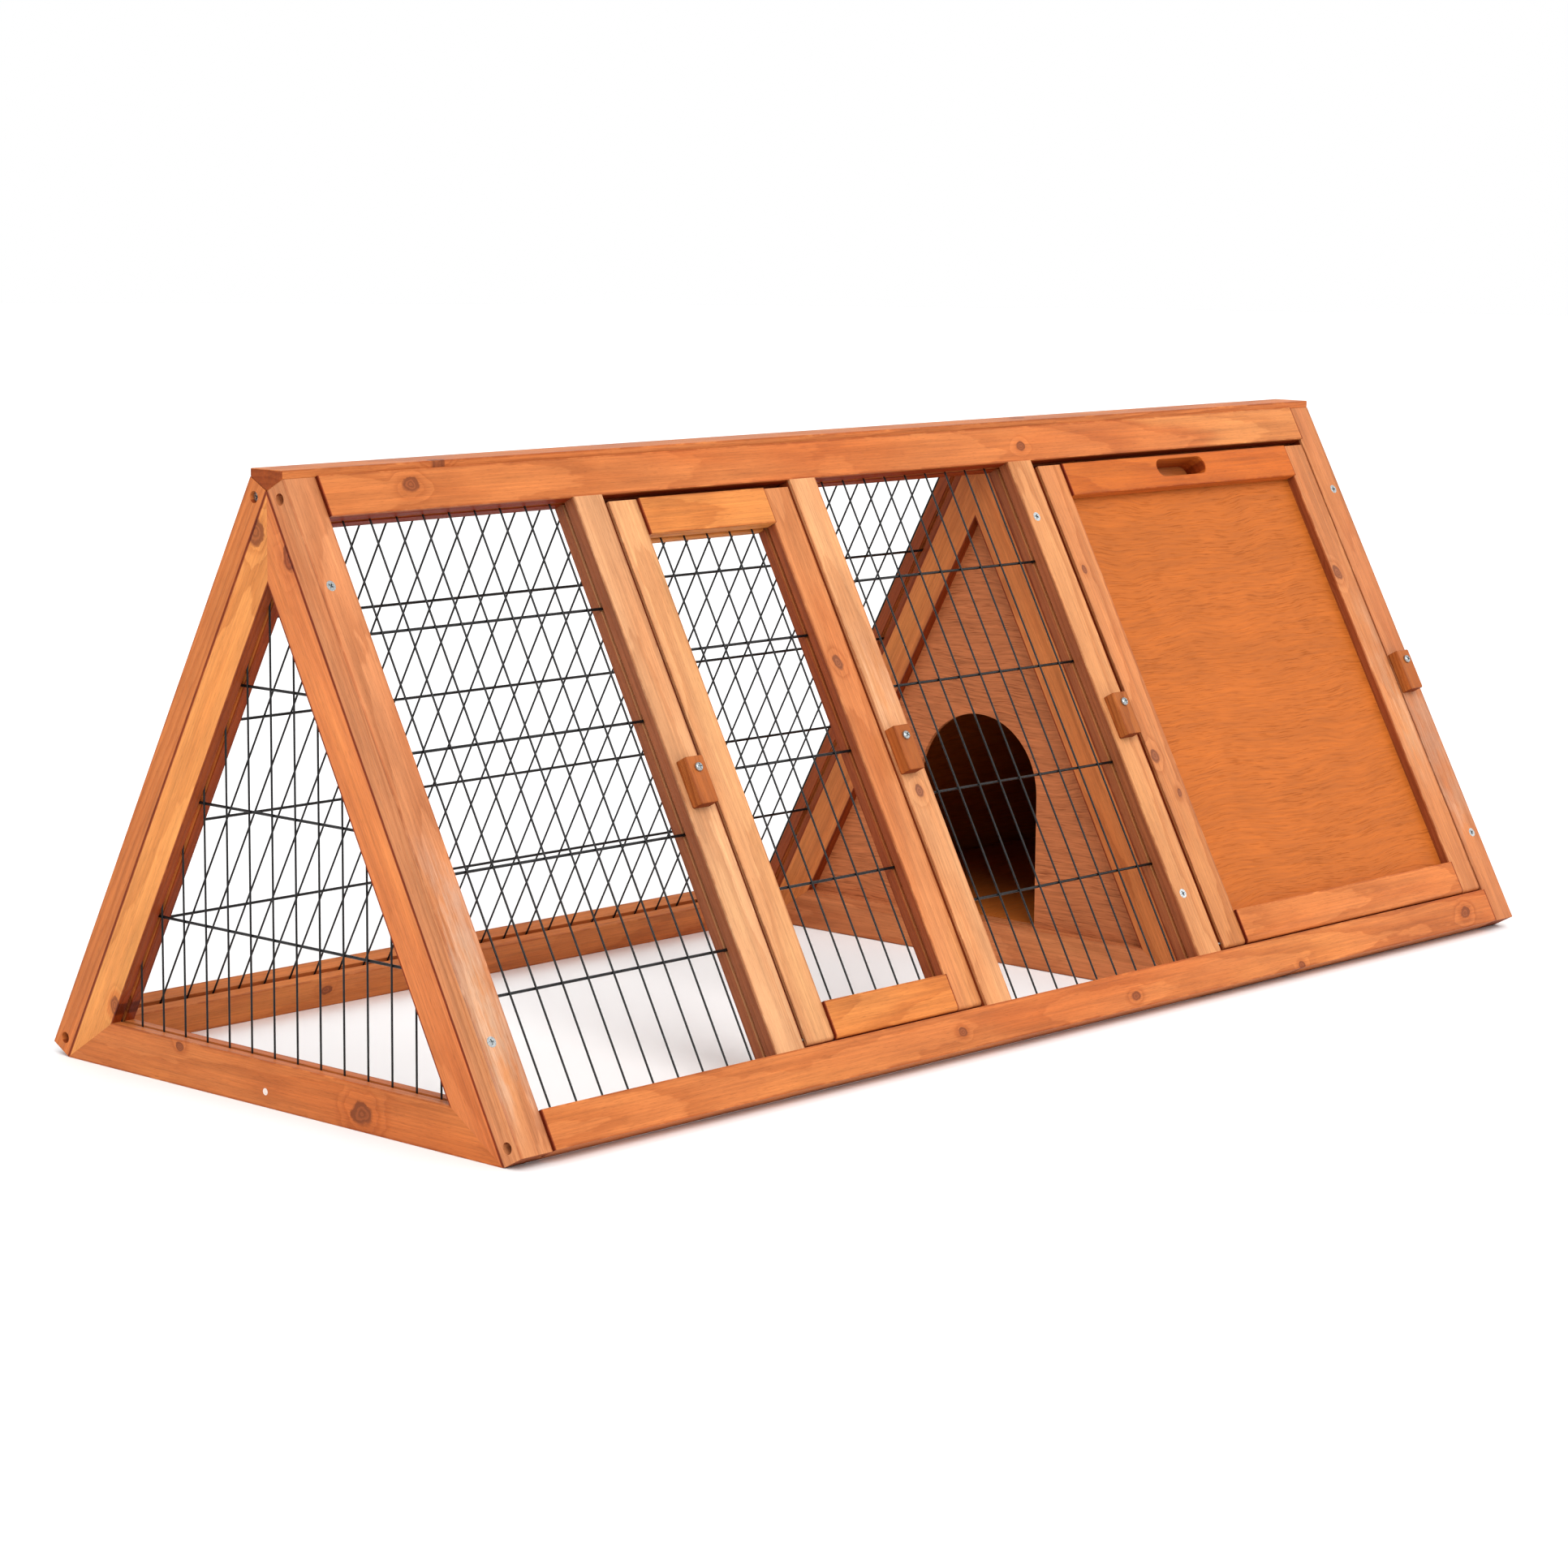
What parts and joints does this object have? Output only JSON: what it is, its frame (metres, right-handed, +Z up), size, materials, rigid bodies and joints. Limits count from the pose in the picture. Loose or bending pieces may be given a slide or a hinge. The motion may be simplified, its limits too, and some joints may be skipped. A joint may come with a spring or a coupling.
{
  "type": "rabbit hutch",
  "caption": "A-frame wooden hutch for small pets with an open-bottomed wire run, a boarded shelter behind an arched doorway, drop-down doors and turn buttons.",
  "frame": {"origin": "on the ground under the middle of the ridge, the centre of the bounding box's base", "axes": "+X along the ridge from the run to the shelter, -Y is the front with both doors, +Z up"},
  "size_m": [1.18, 0.4998, 0.4426],
  "materials": {
    "pine": "orange stained pine, satin",
    "plywood": "orange stained plywood, satin",
    "button_wood": "red-brown stained wood, satin",
    "wire": "black plastic-dipped steel wire",
    "zinc_steel": "bright zinc plate",
    "plug": "off-white filler"
  },
  "bodies": {
    "hutch": {"button_screws": "zinc_steel", "divider_board": "plywood", "divider_front_leg": "pine", "divider_rail": "pine", "divider_rear_leg": "pine", "floor_cleat_left": "pine", "floor_cleat_right": "pine", "front_bottom_rail": "pine", "front_divider_stile": "pine", "front_inner_stile_left": "pine", "front_inner_stile_right": "pine", "front_left_mesh": "wire", "front_left_stile": "pine", "front_middle_mesh": "wire", "front_right_stile": "pine", "front_top_rail": "pine", "left_end_front_leg": "pine", "left_end_mesh": "wire", "left_end_plug": "plug", "left_end_rail": "pine", "left_end_rear_leg": "pine", "panel_screws": "zinc_steel", "rail_screws": "zinc_steel", "rear_bottom_rail": "pine", "rear_divider_stile": "pine", "rear_left_stile": "pine", "rear_mesh": "wire", "rear_right_stile": "pine", "rear_shelter_board": "plywood", "rear_top_rail": "pine", "ridge_cap": "pine", "right_end_board": "plywood", "right_end_front_leg": "pine", "right_end_rail": "pine", "right_end_rear_leg": "pine", "run_door_pins": "zinc_steel", "run_door_stop": "pine", "shelter_door_pins": "zinc_steel", "shelter_door_stop": "pine", "shelter_floor": "plywood"},
    "run_door": {"run_door_left_stile": "pine", "run_door_right_stile": "pine", "run_door_bottom_rail": "pine", "run_door_top_rail": "pine", "run_door_mesh": "wire"},
    "shelter_door": {"shelter_door_left_stile": "pine", "shelter_door_right_stile": "pine", "shelter_door_bottom_rail": "pine", "shelter_door_top_rail": "pine", "shelter_door_board": "plywood"},
    "run_button_left_body": {"run_button_left": "button_wood"},
    "run_button_right_body": {"run_button_right": "button_wood"},
    "shelter_button_left_body": {"shelter_button_left": "button_wood"},
    "shelter_button_right_body": {"shelter_button_right": "button_wood"}
  },
  "joints": [
    {"name": "run_door_hinge", "type": "hinge", "parent": "hutch", "child": "run_door", "pos_m": [-0.205, -0.22832, 0.03867], "axis": [1, 0, 0], "range_deg": [0, 100]},
    {"name": "shelter_door_hinge", "type": "hinge", "parent": "hutch", "child": "shelter_door", "pos_m": [0.3725, -0.22832, 0.03867], "axis": [1, 0, 0], "range_deg": [0, 100]},
    {"name": "run_button_left_turn", "type": "hinge", "parent": "hutch", "child": "run_button_left_body", "pos_m": [-0.31925, -0.13591, 0.22152], "axis": [0, -0.8801, 0.4749], "continuous": true},
    {"name": "run_button_right_turn", "type": "hinge", "parent": "hutch", "child": "run_button_right_body", "pos_m": [-0.09565, -0.13591, 0.22152], "axis": [0, 0.8801, -0.4749], "continuous": true},
    {"name": "shelter_button_left_turn", "type": "hinge", "parent": "hutch", "child": "shelter_button_left_body", "pos_m": [0.16925, -0.13591, 0.22152], "axis": [0, -0.8801, 0.4749], "continuous": true},
    {"name": "shelter_button_right_turn", "type": "hinge", "parent": "hutch", "child": "shelter_button_right_body", "pos_m": [0.57085, -0.13371, 0.22033], "axis": [0, 0.8801, -0.4749], "continuous": true}
  ]
}
